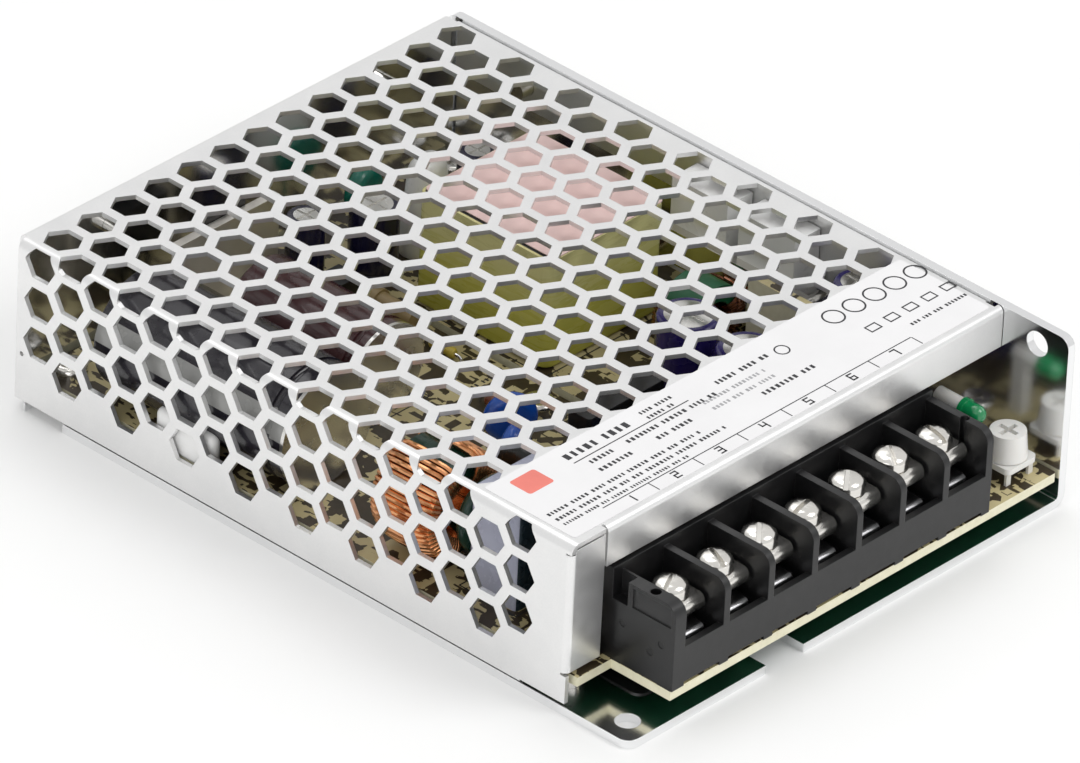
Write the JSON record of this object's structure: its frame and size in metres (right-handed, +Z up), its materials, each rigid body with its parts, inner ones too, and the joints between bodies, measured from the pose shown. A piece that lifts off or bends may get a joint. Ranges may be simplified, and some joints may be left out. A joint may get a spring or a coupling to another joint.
{
  "type": "enclosed switching power supply",
  "caption": "Low rectangular switching power supply with a folded aluminium chassis, a hexagon-mesh cover, a screw terminal block and an output adjuster.",
  "frame": {"origin": "centre of the base's underside, in the middle of the case's width and length", "axes": "+X towards the solid chassis wall, -Y towards the terminal end, +Z up from the base to the mesh top"},
  "size_m": [0.097, 0.129, 0.03],
  "materials": {
    "plate": "bright rolled sheet",
    "sheet": "satin pale grey",
    "nickel": "nickel plated",
    "label": "matt printed film",
    "black_film": "satin film",
    "board": "cream laminate with dark print",
    "black_plastic": "moulded, semi-gloss",
    "white_plastic": "moulded",
    "green_lens": "tinted lens",
    "ferrite": "sintered ferrite",
    "copper": "enamelled copper wire",
    "yellow_tape": "polyester tape",
    "pink_label": "paper label",
    "dark_sleeve": "shrink sleeve",
    "grey_plastic": "moulded box",
    "blue_coat": "dipped coating",
    "green_coat": "dipped coating",
    "silicone": "soft white silicone",
    "blue_sleeve": "shrink sleeve",
    "green_core": "coated powder core",
    "tan_coat": "lacquer"
  },
  "bodies": {
    "case": {"chassis": "plate", "cover": "sheet", "cover_screws": "nickel", "rating_label": "label", "insulation_sheet": "black_film", "circuit_board": "board", "board_standoffs": "nickel", "board_screws": "nickel", "terminal_block": "black_plastic", "terminal_plates": "nickel", "trimmer_base": "white_plastic", "status_led": "green_lens", "led_spacer": "white_plastic", "transformer_core": "ferrite", "transformer_winding": "copper", "transformer_tape": "yellow_tape", "transformer_label": "pink_label", "bulk_capacitor_1": "dark_sleeve", "bulk_capacitor_2": "dark_sleeve", "filter_choke_core": "ferrite", "filter_choke_winding": "copper", "x_capacitor": "grey_plastic", "disc_capacitors": "blue_coat", "surge_varistor": "green_coat", "inrush_thermistor": "black_plastic", "fuse": "nickel", "bridge_rectifier": "black_plastic", "heatsink": "plate", "switching_transistor": "black_plastic", "output_rectifiers": "black_plastic", "insulating_sleeves": "silicone", "clamp_bar": "nickel", "clamp_bar_screws": "nickel", "output_capacitors": "blue_sleeve", "output_choke_core": "green_core", "output_choke_winding": "copper", "control_board": "board", "optocoupler": "black_plastic", "bias_capacitors": "blue_sleeve", "power_resistors": "tan_coat", "sealant_beads": "silicone"},
    "adjuster": {"trimmer_knob": "white_plastic"},
    "clamp_1": {"clamp_washer_1": "nickel"},
    "screw_1": {"terminal_screw_1": "nickel"},
    "clamp_2": {"clamp_washer_2": "nickel"},
    "screw_2": {"terminal_screw_2": "nickel"},
    "clamp_3": {"clamp_washer_3": "nickel"},
    "screw_3": {"terminal_screw_3": "nickel"},
    "clamp_4": {"clamp_washer_4": "nickel"},
    "screw_4": {"terminal_screw_4": "nickel"},
    "clamp_5": {"clamp_washer_5": "nickel"},
    "screw_5": {"terminal_screw_5": "nickel"},
    "clamp_6": {"clamp_washer_6": "nickel"},
    "screw_6": {"terminal_screw_6": "nickel"},
    "clamp_7": {"clamp_washer_7": "nickel"},
    "screw_7": {"terminal_screw_7": "nickel"}
  },
  "joints": [
    {"name": "adjuster_turn", "type": "hinge", "parent": "case", "child": "adjuster", "pos_m": [0.041, -0.0588, 0.0119], "axis": [0, 0, 1], "range_deg": [-130, 130]},
    {"name": "clamp_1_slide", "type": "slide", "parent": "case", "child": "clamp_1", "axis": [0, 0, -1], "range_m": [0, 0.0022]},
    {"name": "screw_1_turn", "type": "hinge", "parent": "clamp_1", "child": "screw_1", "pos_m": [-0.0328, -0.0572, 0.0166], "axis": [0, 0, -1], "range_deg": [0, 1325]},
    {"name": "clamp_2_slide", "type": "slide", "parent": "case", "child": "clamp_2", "axis": [0, 0, -1], "range_m": [0, 0.0023]},
    {"name": "screw_2_turn", "type": "hinge", "parent": "clamp_2", "child": "screw_2", "pos_m": [-0.0231, -0.0572, 0.0166], "axis": [0, 0, -1], "range_deg": [0, 1386]},
    {"name": "clamp_3_slide", "type": "slide", "parent": "case", "child": "clamp_3", "axis": [0, 0, -1], "range_m": [0, 0.0024]},
    {"name": "screw_3_turn", "type": "hinge", "parent": "clamp_3", "child": "screw_3", "pos_m": [-0.0134, -0.0572, 0.0166], "axis": [0, 0, -1], "range_deg": [0, 1446]},
    {"name": "clamp_4_slide", "type": "slide", "parent": "case", "child": "clamp_4", "axis": [0, 0, -1], "range_m": [0, 0.0022]},
    {"name": "screw_4_turn", "type": "hinge", "parent": "clamp_4", "child": "screw_4", "pos_m": [-0.0037, -0.0572, 0.0166], "axis": [0, 0, -1], "range_deg": [0, 1325]},
    {"name": "clamp_5_slide", "type": "slide", "parent": "case", "child": "clamp_5", "axis": [0, 0, -1], "range_m": [0, 0.003]},
    {"name": "screw_5_turn", "type": "hinge", "parent": "clamp_5", "child": "screw_5", "pos_m": [0.006, -0.0572, 0.0166], "axis": [0, 0, -1], "range_deg": [0, 1805]},
    {"name": "clamp_6_slide", "type": "slide", "parent": "case", "child": "clamp_6", "axis": [0, 0, -1], "range_m": [0, 0.003]},
    {"name": "screw_6_turn", "type": "hinge", "parent": "clamp_6", "child": "screw_6", "pos_m": [0.0157, -0.0572, 0.0166], "axis": [0, 0, -1], "range_deg": [0, 1805]},
    {"name": "clamp_7_slide", "type": "slide", "parent": "case", "child": "clamp_7", "axis": [0, 0, -1], "range_m": [0, 0.0023]},
    {"name": "screw_7_turn", "type": "hinge", "parent": "clamp_7", "child": "screw_7", "pos_m": [0.0254, -0.0572, 0.0166], "axis": [0, 0, -1], "range_deg": [0, 1386]}
  ],
  "couplings": [
    {"joint": "screw_1_turn", "follows": "clamp_1_slide", "rad_per_m": 10472},
    {"joint": "screw_2_turn", "follows": "clamp_2_slide", "rad_per_m": 10472},
    {"joint": "screw_3_turn", "follows": "clamp_3_slide", "rad_per_m": 10472},
    {"joint": "screw_4_turn", "follows": "clamp_4_slide", "rad_per_m": 10472},
    {"joint": "screw_5_turn", "follows": "clamp_5_slide", "rad_per_m": 10472},
    {"joint": "screw_6_turn", "follows": "clamp_6_slide", "rad_per_m": 10472},
    {"joint": "screw_7_turn", "follows": "clamp_7_slide", "rad_per_m": 10472}
  ]
}
